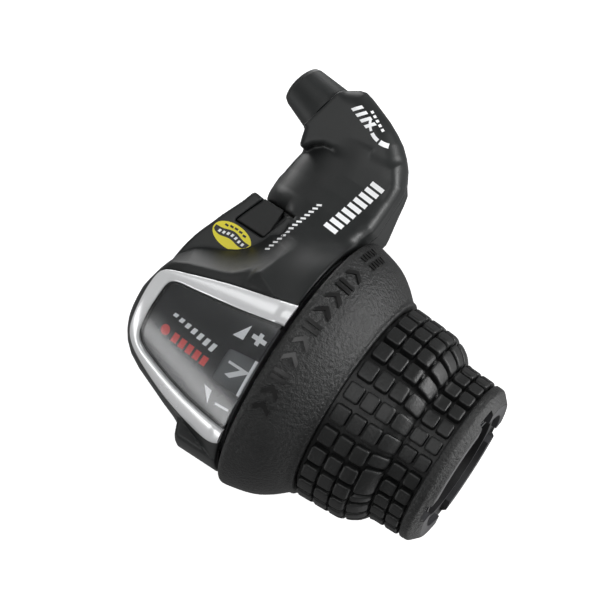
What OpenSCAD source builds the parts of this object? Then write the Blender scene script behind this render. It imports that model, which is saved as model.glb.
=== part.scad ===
// Twist-grip gear shifter for a 22.2 mm handlebar, right-hand side, seven positions.
// X runs along the handlebar towards the open end of the grip, Y points to the front, Z up.
// The origin is on the handlebar's axis, in the plane of the grip's rim.
// Angles called "clock" are measured about X from straight up (0) towards the front (90).

/* [Handlebar fit] */
// Diameter of the handlebar that the bracket clamps
bar_d = 22.2; // [22.0:0.1:22.3]
// Radial room between the handlebar and the bracket
bar_gap = 0.05; // [0.05:0.01:0.1]

/* [Twist grip] */
// Length of the grip from its rim to its open end
grip_len = 40; // [39:0.5:42]
// Diameter of the bell's rim
rim_d = 56.6; // [56:0.2:57]
// Diameter over the block pattern beside the bell
block_d = 43.4; // [42:0.2:44]
// Diameter of the plain collar at the open end
collar_d = 35.4; // [34:0.2:36]

/* [Indexing] */
// Number of gears
gears = 7; // [5:1:7]
// Turn of the grip from one gear to the next, in degrees
click = 18; // [14:1:18]

/* [Covers] */
// Diameter of the shroud round the cable drum
shroud_d = 54; // [53.6:0.2:54.4]
// Wall thickness of the covers
wall = 1.6; // [1.4:0.1:1.6]
// Height of the clamp boss above the handlebar's axis
boss_top = 12; // [12:0.5:13]

/* [Display] */
// Radius of the display's cone where it meets the shroud
cone_r = 27.3; // [27.0:0.1:27.5]
// Fall of the cone's radius for each millimetre towards the nose
cone_fall = 0.355; // [0.35:0.005:0.36]
// Middle of the display on the clock, in degrees
display_clock = -23; // [-26:1:-20]

/* [Cable arm] */
// Bend radius of the cable liner
cable_bend_r = 9; // [8.5:0.5:9]
// Diameter of the casing that the outlet takes, with room to slide
casing_bore_d = 5.2; // [5.0:0.1:5.4]

/* [Hidden] */
$fn = 64;

// Fits
run_gap = 0.06;      // shaft running in a bore
seat_gap = 0.05;     // parts of one body that seat in each other
free_gap = 0.3;      // moving faces that never touch

// Radii about the handlebar's axis
bore_r = bar_d / 2 + bar_gap;
sleeve_r = bore_r + 0.95;
core_bore_r = sleeve_r + run_gap;
core_r = 13.7;
collar_r = 15.4;
band_r = 14.3;
plate_r = 20.7;
chamber_r = shroud_d / 2 - 1.4;
dial_r = 23.4;
drum_r = 22.2;

// Stations along the handlebar
nose_x = -32;
sleeve_x0 = -29.8;
sleeve_x1 = grip_len - 1;
band_x0 = -25.4;
band_x1 = -16;
slit_w = 0.8;
plate_x0 = -13;
plate_x1 = -11.6;
washer_t = 0.5;
core_x0 = plate_x1 + washer_t + run_gap;
detent_x1 = -9.4;
drum_x1 = -2.6;
dial_x0 = -8.4;
dial_x1 = -1.3;
groove_x = -6;
shroud_x1 = -0.9;
chamber_x0 = -10;
ring_x0 = grip_len - 2;
ring_t = 0.8;
collar_x0 = grip_len - 3;

// Clamp bolt, upright through the split lugs in front of the handlebar
bolt_x = -20.4;
bolt_y = 16.4;
bolt_r = 2.5;
lug_r = 4.3;
lug_h = 7.2;
split_w = 1.6;

// Indexing
travel = click * (gears - 1);
detent_r = 17.6;
notch_r = 1.2;
spring_clock = 180;
tab_clock = 60;
tab_half = 5;
tab_r0 = 15.6;
tab_r1 = 17.3;

// Display sector
bezel_half = 42;
lens_half = 28.2;
display_x0 = -30.3;
lens_x0 = -28.6;
display_x1 = -1.3;
lens_t = 1;
panel_t = 0.6;

// Cable arm: the liner bends at bend_at and leaves along the outlet's axis
outlet_at = [-22, 45.4, 0];
outlet_turn = 13.8;
outlet_drop = 6;
outlet_len = 8.6;
outlet_r0 = 5.75;
outlet_r1 = 4.65;
stop_t = 0.9;
stop_r = 2.25;
plug_r = 4;
plug_len = 3.4;
liner_r = 1.5;
liner_bore_r = 0.85;
bend_turn = 90 - outlet_turn;
bend_at = [-15, 34.4, 0];

function cone_at(x) = cone_r + cone_fall * (x + 1);
function bezier(p, t) =
    pow(1 - t, 3) * p[0] + 3 * t * pow(1 - t, 2) * p[1]
    + 3 * t * t * (1 - t) * p[2] + pow(t, 3) * p[3];
function curve(p, steps) = [for (i = [0:steps]) bezier(p, i / steps)];
function swapped(points) = [for (p = points) [p[1], p[0]]];

// Turned shape about the handlebar, from points given as [station, radius]
module turned(points) {
    rotate([0, 90, 0]) rotate_extrude() polygon(swapped(points));
}

// The same over part of a turn, between two clock angles
module turned_part(points, clock0, clock1) {
    rotate([0, 90, 0])
        rotate([0, 0, 180 - clock1])
            rotate_extrude(angle = clock1 - clock0) polygon(swapped(points));
}

module rod_x(x0, x1, r) {
    translate([x0, 0, 0]) rotate([0, 90, 0]) cylinder(h = x1 - x0, r = r);
}

module ring_x(x0, x1, r_in, r_out) {
    difference() {
        rod_x(x0, x1, r_out);
        rod_x(x0 - 1, x1 + 1, r_in);
    }
}

module rod_z(at, z0, z1, r) {
    translate([at[0], at[1], z0]) cylinder(h = z1 - z0, r = r);
}

// Children drawn straight up are turned to a clock angle
module at_clock(angle) {
    rotate([-angle, 0, 0]) children();
}

// Children drawn along Z are laid on the outlet's axis, z = 0 at the arm's end face
module on_outlet_axis() {
    translate(outlet_at) rotate([0, 90 + outlet_drop, 180 - outlet_turn]) children();
}

module balls(points) {
    for (p = points) {
        translate([p[0], p[1], p[2]]) sphere(r = p[3], $fn = 24);
    }
}

// ---- Covers ----

// Outline of the shroud and the nose, from the grip's rim to the nose
function cover_profile(inset) = concat(
    [[shroud_x1, 0], [shroud_x1, shroud_d / 2 - inset], [-10.3 + inset, shroud_d / 2 - inset]],
    [[-11.2 + inset, shroud_d / 2 - 1 - inset], [-12.6, 23.3 - inset], [-20, 20.6 - inset]],
    [[-27, 17.9 - inset], [-29.5, 16.6 - inset], [-31.2 + inset / 2, 15.2 - inset]],
    [[nose_x + inset / 2, 13.6 - inset / 3], [nose_x + inset / 2, 0]]
);

boss_edge = [[-28.3, 4], [-27.9, 9.4], [-26.9, 12.2], [-25.5, 16.3], [-23.5, 21], [-22.9, 22.4]];

module boss_block(inset) {
    round_r = 1;
    hull() {
        for (side = [-1, 1]) {
            for (p = concat(boss_edge, [[-12, 22.4], [-12, 4]])) {
                translate([p[0] + inset, p[1] - inset, side * (boss_top - round_r - inset)])
                    sphere(r = round_r, $fn = 16);
            }
        }
    }
}

// Foot of the ramp on the boss, and the ridge at the ramp's top
ramp_foot = [[-29.3, 5.1], [-27.3, 8], [-23.8, 10], [-19.7, 12], [-17.2, 14.9], [-15.7, 18.3],
             [-14.7, 21.8], [-14.2, 24.7]];
ramp_ridge = [[-28.4, 4.5, 16.2], [-26.5, 5, 17.4], [-22.5, 6.1, 18.7], [-18, 7.6, 19.9],
              [-13.2, 10, 20.7], [-9.9, 14.5, 19.3], [-9.2, 19.7, 14.8], [-9.4, 23.7, 12]];

// Slope that sweeps from the nose over the boss to the neck
module ramp_blocks() {
    edge_r = 0.5;
    for (i = [0:len(ramp_foot) - 2]) {
        hull() {
            for (k = [i, i + 1]) {
                foot = ramp_foot[k];
                ridge = ramp_ridge[k];
                translate([foot[0] + edge_r, foot[1] - edge_r, boss_top - edge_r])
                    sphere(r = edge_r, $fn = 12);
                translate([ridge[0] + edge_r, ridge[1] - edge_r, ridge[2] - edge_r])
                    sphere(r = edge_r, $fn = 12);
                translate([ridge[0] + 3, ridge[1] - 1.5, boss_top - 3]) sphere(r = edge_r, $fn = 12);
            }
        }
    }
}

// Turned body, cut to the display's cone on its upper and front side, with the boss let in
module turned_body() {
    slant = tan(11.2);
    sides = [[-31.5, -40], [-31.5, -2], [-28.7, 10], [-27.8, 12.4], [-26.3, 16.4], [-24.3, 20.8],
             [-22, 28], [10, 40], [10, -40]];
    intersection() {
        difference() {
            turned(cover_profile(0));
            turned_part([[-34, cone_at(-34)], [0, cone_at(0)], [0, 45], [-34, 45]],
                        display_clock - bezel_half - 0.4, 95);
            translate([0, 0, boss_top - 0.1])
                linear_extrude(height = 30)
                    polygon(concat([[-40, 2.6]], [for (p = ramp_ridge) [p[0], p[1]]],
                                   [[-9.4, 40], [-40, 40]]));
        }
        hull() {
            for (p = sides) {
                for (z = [-30, 30]) {
                    translate([p[0] + (z - boss_top) * slant, p[1], z]) cube(0.01);
                }
            }
        }
    }
}

// Neck and head of the cable arm
module arm_blocks() {
    neck_foot = [[-4, 18, 14.5, 3], [-10, 18, 13, 3], [-4, 13, -19, 3], [-10, 13, -18, 3]];
    neck_waist = [[-4.5, 32, 3, 4.2], [-18.6, 30, -1, 5.2], [-4.1, 31, -8, 4.2], [-18, 30, -5, 5.2]];
    head_root = [[-5.4, 39.4, 0.3, 5], [-17.9, 39.1, 0, 4.9]];
    head_tip = [[-9.2, 43.8, 0, 5.6], [-16.9, 46.6, 0, 5.8], [-17.5, 45.4, 0, 5.6]];
    hull() {
        balls(neck_foot);
        balls(neck_waist);
    }
    hull() {
        balls(neck_waist);
        balls(head_root);
    }
    hull() {
        balls(head_root);
        balls(head_tip);
    }
}

// Outline of the cable door seen from above
door_outline = [[-23.3, 17], [-16.9, 17], [-15.3, 21.9], [-15.1, 23.4], [-20.9, 23.4]];

module cover_room() {
    // Drum chamber, open towards the grip, and shallower under the display and the ramp
    lo = display_clock - bezel_half - 2;
    turned_part([[shroud_x1 + 1, 0], [shroud_x1 + 1, chamber_r], [chamber_x0, chamber_r],
                 [-12.6, 23.3 - wall], [-27, 17.9 - wall], [-30.6, 14.8], [-30.6, 0]], 80, 360 + lo);
    turned_part([[shroud_x1 + 1, 0], [shroud_x1 + 1, chamber_r - 0.1], [-2, chamber_r - 0.1],
                 [-8.4, cone_at(-8.4) - 1], [-13.4, 21.6], [-13.6, 15.5], [-15.4, band_r + 0.15],
                 [-25.6, band_r + 0.15], [-26, sleeve_r + 0.4], [-30.6, sleeve_r + 0.4],
                 [-30.6, 0]], lo - 1, 81);
    rod_x(nose_x - 1, -30, sleeve_r + seat_gap);
    // Room for the lugs inside the boss
    hull() {
        for (side = [-1, 1]) {
            for (p = [[-24.6, 10], [-24.5, 12.6], [-24, 16.4], [-21.4, 20.6], [-15, 20.6], [-15, 10]]) {
                translate([p[0], p[1], side * 8.4]) sphere(r = 0.6, $fn = 12);
            }
        }
    }
    rod_z([bolt_x, bolt_y], -9, 9, 4.9);
    // Slot that takes the cable from the drum down to the liner
    translate([groove_x + 1.5, 0, 0])
        rotate([90, 0, -90])
            linear_extrude(height = 3)
                polygon([[-18, -1], [-34.6, -1.75], [-34.6, 1.75], [-18, 16.5]]);
    liner_path(liner_r + 0.25);
    on_outlet_axis() {
        translate([0, 0, -plug_len - 0.1]) cylinder(h = plug_len + 0.2, r = plug_r + seat_gap);
        cylinder(h = outlet_len + 4, r = 7.5);
    }
}

module liner_path(r) {
    translate(bend_at)
        rotate_extrude(angle = bend_turn) translate([cable_bend_r, 0]) circle(r = r, $fn = 24);
    straight = 8;
    on_liner_end() translate([0, 0, -0.01]) cylinder(h = straight, r = r, $fn = 24);
}

module on_liner_end() {
    translate(bend_at)
        rotate([0, 0, bend_turn]) translate([cable_bend_r, 0, 0]) rotate([-90, 0, 0]) children();
}

screw_posts = [[-18.4, 30.2], [-15.4, 37.2], [-17, -17.4]];

// Both covers before they are parted, with the display let into them
module cover_body() {
    difference() {
        union() {
            difference() {
                union() {
                    turned_body();
                    boss_block(0);
                    ramp_blocks();
                    arm_blocks();
                }
                cover_room();
            }
            intersection() {
                turned(cover_profile(0.3));
                rod_z(screw_posts[2], -14, 12, 2.2);
            }
        }
        rod_x(nose_x - 1, 2, sleeve_r + seat_gap);
        display_room();
        door_room();
        // Way for the hexagon key and the bolt's head
        rod_z([bolt_x, bolt_y], -20, -7, 4.9);
        for (p = screw_posts) {
            rod_z(p, -9, 3.4, 1.15);
            rod_z(p, -20, -5.2, 2.15);
        }
        bezel_screw_places() {
            cylinder(h = 4, r = 0.8, $fn = 24);
            // Way for the screw's head, from inside
            translate([0, 0, -5]) cylinder(h = 5.95, r = 1.3, $fn = 24);
        }
    }
}

// Profile of the room above the display's cone, from a station to the rim, sunk by a depth
function over_cone(x, depth) = [[x, cone_at(x) - depth], [0, cone_at(0) - depth], [0, 45], [x, 45]];

module display_room() {
    lo = display_clock - bezel_half - 0.4;
    hi = display_clock + bezel_half + 0.4;
    turned_part(over_cone(-34, 0), lo, hi);
    turned_part(over_cone(display_x0 - 0.1, 0.65), lo, hi);
    turned_part(over_cone(lens_x0 - 0.2, lens_t + 0.05),
                display_clock - lens_half - 0.3, display_clock + lens_half + 0.3);
    turned_part([[lens_x0 + 0.8, band_r + 0.2], [0, band_r + 0.2], [0, 45], [lens_x0 + 0.8, 45]],
                display_clock - lens_half + 2, display_clock + lens_half - 2);
}

module door_room() {
    translate([0, 0, boss_top - 3.6])
        linear_extrude(height = 6)
            polygon([[-23.65, 16.75], [-16.7, 16.75], [-15.05, 21.8], [-14.85, 23.7], [-21.15, 23.7]]);
    translate([0, 0, 1])
        linear_extrude(height = boss_top)
            polygon([[-21.3, 21.9], [-16.2, 21.9], [-16.2, 23.7], [-20.9, 23.7]]);
}

module upper_cover() {
    color("#3b3d3d") intersection() {
        cover_body();
        translate([-40, -40, 0.05]) cube([60, 110, 60]);
    }
}

module lower_cover() {
    color("#333535") intersection() {
        cover_body();
        translate([-40, -40, -60]) cube([60, 110, 60]);
    }
}

// Lift-off door over the cable end and the clamp nut
module cable_door() {
    color("#2c2d2e") {
        translate([0, 0, boss_top - 1.5]) linear_extrude(height = 1.5) polygon(door_outline);
        translate([0, 0, 1.5])
            linear_extrude(height = boss_top - 2)
                polygon([[-20.9, 22.3], [-16.5, 22.3], [-16.5, 23.4], [-20.6, 23.4]]);
    }
}

// Printed oval label on the boss
module boss_label() {
    color("#f0dc20")
        translate([0, 0, boss_top])
            linear_extrude(height = 0.12)
                difference() {
                    translate([-22.2, 13.75]) oval(3.9, 2.45);
                    polygon([[-24.2, 9.4], [-23.9, 10.4], [-19.9, 12.4], [-17.5, 15.2], [-14, 15], [-14, 9]]);
                }
}

module oval(rx, ry) {
    polygon([for (a = [0:10:350]) [rx * cos(a), ry * sin(a)]]);
}

// ---- Clamp and bracket ----

module bracket() {
    color("#2b2c2d") difference() {
        union() {
            rod_x(sleeve_x0, sleeve_x1, sleeve_r);
            rod_x(plate_x0, plate_x1, plate_r);
            rod_x(band_x0, band_x1, band_r);
            rod_z([bolt_x, bolt_y], -lug_h + 1, lug_h, lug_r);
            translate([bolt_x - lug_r, 0, -lug_h + 1]) cube([2 * lug_r, bolt_y, 2 * lug_h - 1]);
        }
        rod_x(sleeve_x0 - 1, sleeve_x1 + 1, bore_r);
        // Split that lets the band close on the handlebar
        translate([sleeve_x0 - 1, 0, -split_w / 2])
            cube([band_x1 - sleeve_x0 + 1 + slit_w, bolt_y + 10, split_w]);
        translate([band_x1, -4, -20]) cube([slit_w, 40, 40]);
        rod_z([bolt_x, bolt_y], -20, 20, bolt_r + 0.25);
        rod_z([bolt_x, bolt_y], -20, -lug_h + 1, 4.6);
        translate([bolt_x, bolt_y, 3.4]) rotate([0, 0, 30]) cylinder(h = 8, r = 4.75, $fn = 6);
        // Arc slot that stops the grip at both ends of its travel
        turned_part([[plate_x0 - 1, tab_r0 - 0.3], [plate_x1 + 1, tab_r0 - 0.3],
                     [plate_x1 + 1, tab_r1 + 0.3], [plate_x0 - 1, tab_r1 + 0.3]],
                    tab_clock - travel - tab_half - 1, tab_clock + tab_half + 1);
        // Hole through which the cable's end is pushed out
        at_clock(76) translate([plate_x0 - 1, 0, 18.6]) rotate([0, 90, 0]) cylinder(h = 4, r = 2.4);
        at_clock(spring_clock - 33)
            translate([plate_x0 - 1, 0, 19.6]) rotate([0, 90, 0]) cylinder(h = 4, r = 0.85, $fn = 24);
        // Groove of the retaining ring
        ring_x(ring_x0, ring_x0 + ring_t, sleeve_r - 0.48, sleeve_r + 1);
    }
}

module clamp_bolt() {
    color("#9a9c9e") difference() {
        union() {
            rod_z([bolt_x, bolt_y], -8, 8.2, bolt_r);
            rod_z([bolt_x, bolt_y], -12, -7.2, 4.25);
        }
        translate([bolt_x, bolt_y, -13]) cylinder(h = 3.6, r = 2.31, $fn = 6);
    }
}

module clamp_washer() {
    color("#b4b6b8") difference() {
        rod_z([bolt_x, bolt_y], -7.2, -lug_h + 1, 4.5);
        rod_z([bolt_x, bolt_y], -9, -5, bolt_r + 0.1);
    }
}

module clamp_nut() {
    color("#a6a8aa") difference() {
        translate([bolt_x, bolt_y, 3.4])
            rotate([0, 0, 30]) cylinder(h = 3.8, r = 4.6, $fn = 6);
        rod_z([bolt_x, bolt_y], 0, 12, bolt_r);
    }
}

module cover_screws() {
    color("#8d8f91") for (p = screw_posts) {
        difference() {
            union() {
                rod_z(p, -5.2, 3, 1.1);
                rod_z(p, -6.8, -5.2, 2.05);
            }
            cross_slot([p[0], p[1], -6.9]);
        }
    }
}

module cross_slot(at) {
    translate(at) {
        translate([-1.2, -0.25, 0]) cube([2.4, 0.5, 0.9]);
        translate([-0.25, -1.2, 0]) cube([0.5, 2.4, 0.9]);
    }
}

// ---- Display ----

module bezel() {
    lo = display_clock - bezel_half;
    hi = display_clock + bezel_half;
    color("#d9dcde") difference() {
        turned_part([[display_x0, cone_at(display_x0) - 0.6], [display_x1, cone_at(display_x1) - 0.6],
                     [display_x1, cone_at(display_x1) + 0.3], [display_x0, cone_at(display_x0) + 0.3]],
                    lo, hi);
        turned_part([[lens_x0 - 0.15, 10], [2, 10], [2, 40], [lens_x0 - 0.15, 40]],
                    display_clock - lens_half - 0.3, display_clock + lens_half + 0.3);
        bezel_screw_places() cylinder(h = 2.5, r = 0.7, $fn = 24);
    }
}

module lens() {
    color("#50585c") turned_part(
        [[lens_x0, cone_at(lens_x0) - lens_t], [display_x1, cone_at(display_x1) - lens_t],
         [display_x1, cone_at(display_x1) + 0.1], [lens_x0, cone_at(lens_x0) + 0.1]],
        display_clock - lens_half, display_clock + lens_half);
}

module display_panel() {
    far = lens_x0 + 1;
    near = dial_x0 - 0.6;
    color("#202224") turned_part(
        [[far, cone_at(far) - lens_t - panel_t], [near, cone_at(near) - lens_t - panel_t],
         [near, cone_at(near) - lens_t], [far, cone_at(far) - lens_t]],
        display_clock - lens_half + 2.3, display_clock + lens_half - 2.3);
}

// Two screws from inside hold the bezel; children are drawn along the screw's axis
module bezel_screw_places() {
    x = -24;
    for (clock = [display_clock - 35, display_clock + 35]) {
        at_clock(clock) translate([x, 0, cone_at(x) - 3]) children();
    }
}

module bezel_screws() {
    color("#8d8f91") bezel_screw_places() {
        union() {
            translate([0, 0, 0.35]) cylinder(h = 2.05, r = 0.65, $fn = 24);
            translate([0, 0, 0.15]) cylinder(h = 0.75, r = 1.2, $fn = 24);
        }
    }
}

// ---- Cable arm ----

module cable_outlet() {
    color("#434545") difference() {
        on_outlet_axis() rotate_extrude() polygon([
            [0, -plug_len], [plug_r, -plug_len], [plug_r, 0], [outlet_r0, 0], [outlet_r0, 0.6],
            [outlet_r1 + 0.1, outlet_len - 1.2], [outlet_r1 - 0.25, outlet_len - 0.35],
            [outlet_r1 - 0.9, outlet_len], [0, outlet_len]
        ]);
        on_outlet_axis() {
            translate([0, 0, stop_t + 0.1]) cylinder(h = outlet_len, r = casing_bore_d / 2);
            translate([0, 0, -plug_len - 1]) cylinder(h = outlet_len, r = liner_r + 0.15);
            cylinder(h = 2, r = stop_r + 0.05);
        }
    }
}

module casing_stop() {
    color("#c2a24a") on_outlet_axis() difference() {
        translate([0, 0, 0.02]) cylinder(h = stop_t - 0.04, r = stop_r);
        translate([0, 0, -1]) cylinder(h = 3, r = 0.9);
    }
}

module cable_liner() {
    color("#e4e6e6") {
        translate(bend_at)
            rotate_extrude(angle = bend_turn) translate([cable_bend_r, 0]) liner_section(0);
        on_liner_end() translate([0, 0, -0.4]) linear_extrude(height = 6.2) liner_section(0.12);
    }
}

module liner_section(wider) {
    difference() {
        circle(r = liner_r + wider);
        circle(r = liner_bore_r + wider);
    }
}

// ---- Twist grip ----

// Outside of the rubber, from the rim to the open end
function grip_outline() = concat(
    [[0.3, rim_d / 2 - 0.7]],
    curve([[0.9, rim_d / 2], [5.5, rim_d / 2], [10, rim_d / 2 - 2.3], [14, block_d / 2 + 0.4]], 10),
    [[14.4, block_d / 2], [24.4, block_d / 2 - 0.5]],
    curve([[24.8, block_d / 2 - 0.7], [27, 20.4], [27.4, 18.6], [29, collar_d / 2 + 0.3]], 5),
    [[grip_len - 2.2, collar_d / 2]],
    curve([[grip_len - 1.6, collar_d / 2], [grip_len - 0.4, 17.3], [grip_len, 16.4],
           [grip_len, 15.4]], 4)
);

module grip_rubber() {
    color("#262727") turned(concat(
        [[0.3, 25.2]],
        grip_outline(),
        [[collar_x0, collar_r], [collar_x0, core_r], [14, core_r], [13, 19.6], [11, 21.8], [7.5, 24.2], [3, 25.2]]
    ));
}

module grip_core() {
    shoulder_x1 = 0.5;
    color("#35363a") difference() {
        union() {
            ring_x(core_x0, grip_len, core_bore_r, core_r);
            ring_x(collar_x0, grip_len, core_bore_r, collar_r);
            ring_x(dial_x1 + seat_gap, shoulder_x1, core_r - 0.5, 16.2);
            turned([[0.4, 25.15], [3, 25.15], [7.5, 24.15], [11, 21.75], [13, 19.55], [14, core_r],
                    [14, core_r - 0.5], [11.6, core_r - 0.5], [11.2, 18.4], [9.6, 20.2],
                    [6.6, 22.4], [2.6, 23.5], [0.4, 23.5]]);
            core_keys(0);
        }
        rod_x(ring_x0 - washer_t - 0.1, grip_len + 1, sleeve_r + 0.85);
        end_notches();
    }
}

// Keys that turn the drum with the core
module core_keys(gap) {
    key_w = 3;
    for (clock = [0, 120, 240]) {
        at_clock(clock)
            translate([core_x0 + 1.2, -key_w / 2 - gap, core_r - 0.6])
                cube([drum_x1 - core_x0 - 1.2, key_w + 2 * gap, 1.7 + gap]);
    }
}

module end_notches() {
    notch_w = 4.6;
    for (clock = [43, 137, 223, 317]) {
        at_clock(clock)
            translate([grip_len - 1.3, -notch_w / 2, core_bore_r - 1]) cube([3, notch_w, 6]);
    }
}

module cable_drum() {
    pocket_r = 2.3;
    color("#c9ccce") difference() {
        turned([[detent_x1, core_r + seat_gap], [detent_x1, drum_r], [groove_x - 1.1, drum_r],
                [groove_x - 0.7, 20.6], [groove_x + 0.7, 20.6], [groove_x + 1.1, drum_r],
                [drum_x1, drum_r], [drum_x1, core_r + seat_gap]]);
        core_keys(seat_gap);
        // Pocket for the cable's end, with a slot out to the groove
        at_clock(34) translate([detent_x1 - 1, 0, 18.2]) rotate([0, 90, 0]) cylinder(h = 6, r = pocket_r);
        at_clock(28) translate([groove_x - 0.8, -0.8, 18]) cube([1.6, 4, 6]);
        drum_screw_places() cylinder(h = 8, r = 0.9, $fn = 24);
    }
}

module drum_screw_places() {
    for (clock = [60, 180, 300]) {
        at_clock(clock) translate([core_x0 + 0.05, 0, 15.1]) rotate([0, 90, 0]) children();
    }
}

module drum_screws() {
    color("#9a9c9e") drum_screw_places() {
        difference() {
            union() {
                cylinder(h = 6, r = 0.85, $fn = 24);
                cylinder(h = 0.7, r = 1.25, $fn = 24);
            }
            translate([-0.15, -1, -0.1]) cube([0.3, 2, 0.45]);
        }
    }
}

// Notched ring with one notch for each gear, and the tab that meets the end stops
module detent_ring() {
    color("#b0aa96") difference() {
        union() {
            ring_x(core_x0, detent_x1, core_r + seat_gap, detent_r);
            turned_part([[plate_x0 + 0.2, tab_r0], [core_x0 + 0.2, tab_r0],
                         [core_x0 + 0.2, tab_r1], [plate_x0 + 0.2, tab_r1]],
                        tab_clock - tab_half, tab_clock + tab_half);
        }
        for (gear = [0:gears - 1]) {
            at_clock(spring_clock + gear * click)
                translate([core_x0 - 1, 0, detent_r + 0.35])
                    rotate([0, 90, 0]) cylinder(h = 4, r = notch_r);
        }
        core_keys(seat_gap);
        drum_screw_places() {
            cylinder(h = 8, r = 0.9, $fn = 24);
            translate([0, 0, -1]) cylinder(h = 1.75, r = 1.3, $fn = 24);
        }
    }
}

// Ring that carries the gear numbers under the lens
module number_dial() {
    color("#3a3c3e") difference() {
        turned([[drum_x1 + seat_gap, core_r + seat_gap], [drum_x1 + seat_gap, dial_r - 0.8],
                [dial_x0, dial_r - 0.8], [dial_x0, dial_r], [dial_x1, dial_r],
                [dial_x1, core_r + seat_gap]]);
        core_keys(seat_gap);
    }
}

// Leaf spring whose nose drops into the notches
module detent_spring() {
    leaf_t = 0.5;
    leaf_r = detent_r + 0.7;
    color("#c8cacc") {
        turned_part([[core_x0, leaf_r], [detent_x1 - 0.3, leaf_r],
                     [detent_x1 - 0.3, leaf_r + leaf_t], [core_x0, leaf_r + leaf_t]],
                    spring_clock - 30, spring_clock + 26);
        at_clock(spring_clock)
            translate([core_x0 + 0.2, 0, leaf_r])
                rotate([0, 90, 0]) cylinder(h = 1.2, r = 0.75, $fn = 24);
        difference() {
            turned_part([[plate_x1, leaf_r - 0.5], [core_x0 + 0.4, leaf_r - 0.5],
                         [core_x0 + 0.4, plate_r - 0.3], [plate_x1, plate_r - 0.3]],
                        spring_clock - 38, spring_clock - 28);
            at_clock(spring_clock - 33)
                translate([plate_x0, 0, 19.6]) rotate([0, 90, 0]) cylinder(h = 4, r = 0.85, $fn = 24);
        }
    }
}

module spring_screw() {
    color("#9a9c9e") at_clock(spring_clock - 33) translate([0, 0, 19.6]) rotate([0, 90, 0]) {
        translate([0, 0, plate_x0 + 0.1]) cylinder(h = 2.5, r = 0.8, $fn = 24);
        translate([0, 0, core_x0 + 0.4]) cylinder(h = 0.8, r = 1.2, $fn = 24);
    }
}

module thrust_washer() {
    color("#e2e2dc") ring_x(plate_x1, plate_x1 + washer_t, sleeve_r + run_gap, 15);
}

module end_washer() {
    color("#e2e2dc") ring_x(ring_x0 - washer_t, ring_x0, sleeve_r + run_gap, sleeve_r + 0.65);
}

module retaining_ring() {
    color("#b8babc") turned_part(
        [[ring_x0 + 0.02, sleeve_r - 0.44], [ring_x0 + ring_t - 0.04, sleeve_r - 0.44],
         [ring_x0 + ring_t - 0.04, sleeve_r + 0.6], [ring_x0 + 0.02, sleeve_r + 0.6]],
        -150, 150);
}

bracket();
upper_cover();
lower_cover();
cable_outlet();
casing_stop();
cable_liner();
bezel();
lens();
display_panel();
boss_label();
detent_spring();
spring_screw();
clamp_bolt();
clamp_washer();
clamp_nut();
cover_screws();
bezel_screws();
thrust_washer();
end_washer();
retaining_ring();
cable_door();
grip_rubber();
grip_core();
cable_drum();
detent_ring();
drum_screws();
number_dial();
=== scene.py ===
"""Looks of the twist-grip gear shifter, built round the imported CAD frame.

Lengths inside this file are millimetres in the CAD's frame; MM turns them into metres.
A "clock" is an angle about X, 0 straight up and 90 to the front.
"""
import math

import bmesh
import bpy
import numpy as np
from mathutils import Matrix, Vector
from mathutils.bvhtree import BVHTree


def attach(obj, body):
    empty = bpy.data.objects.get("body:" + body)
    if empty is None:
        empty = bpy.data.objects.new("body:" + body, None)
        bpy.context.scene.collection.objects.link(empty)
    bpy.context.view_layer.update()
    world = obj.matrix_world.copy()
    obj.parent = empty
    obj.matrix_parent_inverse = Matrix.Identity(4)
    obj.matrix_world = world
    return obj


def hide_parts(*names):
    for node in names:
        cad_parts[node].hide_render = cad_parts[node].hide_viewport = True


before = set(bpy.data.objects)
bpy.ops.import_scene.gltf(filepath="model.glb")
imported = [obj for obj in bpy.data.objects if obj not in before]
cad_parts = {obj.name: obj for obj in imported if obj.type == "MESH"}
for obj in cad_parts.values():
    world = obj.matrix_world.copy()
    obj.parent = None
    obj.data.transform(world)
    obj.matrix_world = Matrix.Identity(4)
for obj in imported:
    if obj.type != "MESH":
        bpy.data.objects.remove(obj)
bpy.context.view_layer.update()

MM = 0.001
scene = bpy.context.scene

# ---------------- camera

CAMERA_TARGET = Vector((-6.1, 10.6, 0.0)) * MM
CAMERA_TILT = math.radians(11.2)
CAMERA_ROLL = math.radians(33.0)
CAMERA_DISTANCE = 500 * MM
SENSOR = 36.0
LENS = 150.0


def make_camera():
    away = Vector((math.sin(CAMERA_TILT), 0, math.cos(CAMERA_TILT)))
    side = Vector((math.cos(CAMERA_TILT), 0, -math.sin(CAMERA_TILT)))
    front = Vector((0, 1, 0))
    right = math.cos(CAMERA_ROLL) * side + math.sin(CAMERA_ROLL) * front
    up = -math.sin(CAMERA_ROLL) * side + math.cos(CAMERA_ROLL) * front
    data = bpy.data.cameras.new("camera")
    data.lens, data.sensor_width = LENS, SENSOR
    data.clip_start, data.clip_end = 0.01, 10
    cam = bpy.data.objects.new("camera", data)
    scene.collection.objects.link(cam)
    place = CAMERA_TARGET + away * CAMERA_DISTANCE
    m = cam.matrix_world.copy()
    for i in range(3):
        m[i][0], m[i][1], m[i][2], m[i][3] = right[i], up[i], away[i], place[i]
    cam.matrix_world = m
    scene.camera = cam


make_camera()

# ---------------- materials


def new_material(name):
    m = bpy.data.materials.new(name)
    m.use_nodes = True
    t = m.node_tree
    t.nodes.clear()
    out = t.nodes.new("ShaderNodeOutputMaterial")
    bsdf = t.nodes.new("ShaderNodeBsdfPrincipled")
    t.links.new(bsdf.outputs["BSDF"], out.inputs["Surface"])
    return m, t, bsdf


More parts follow.
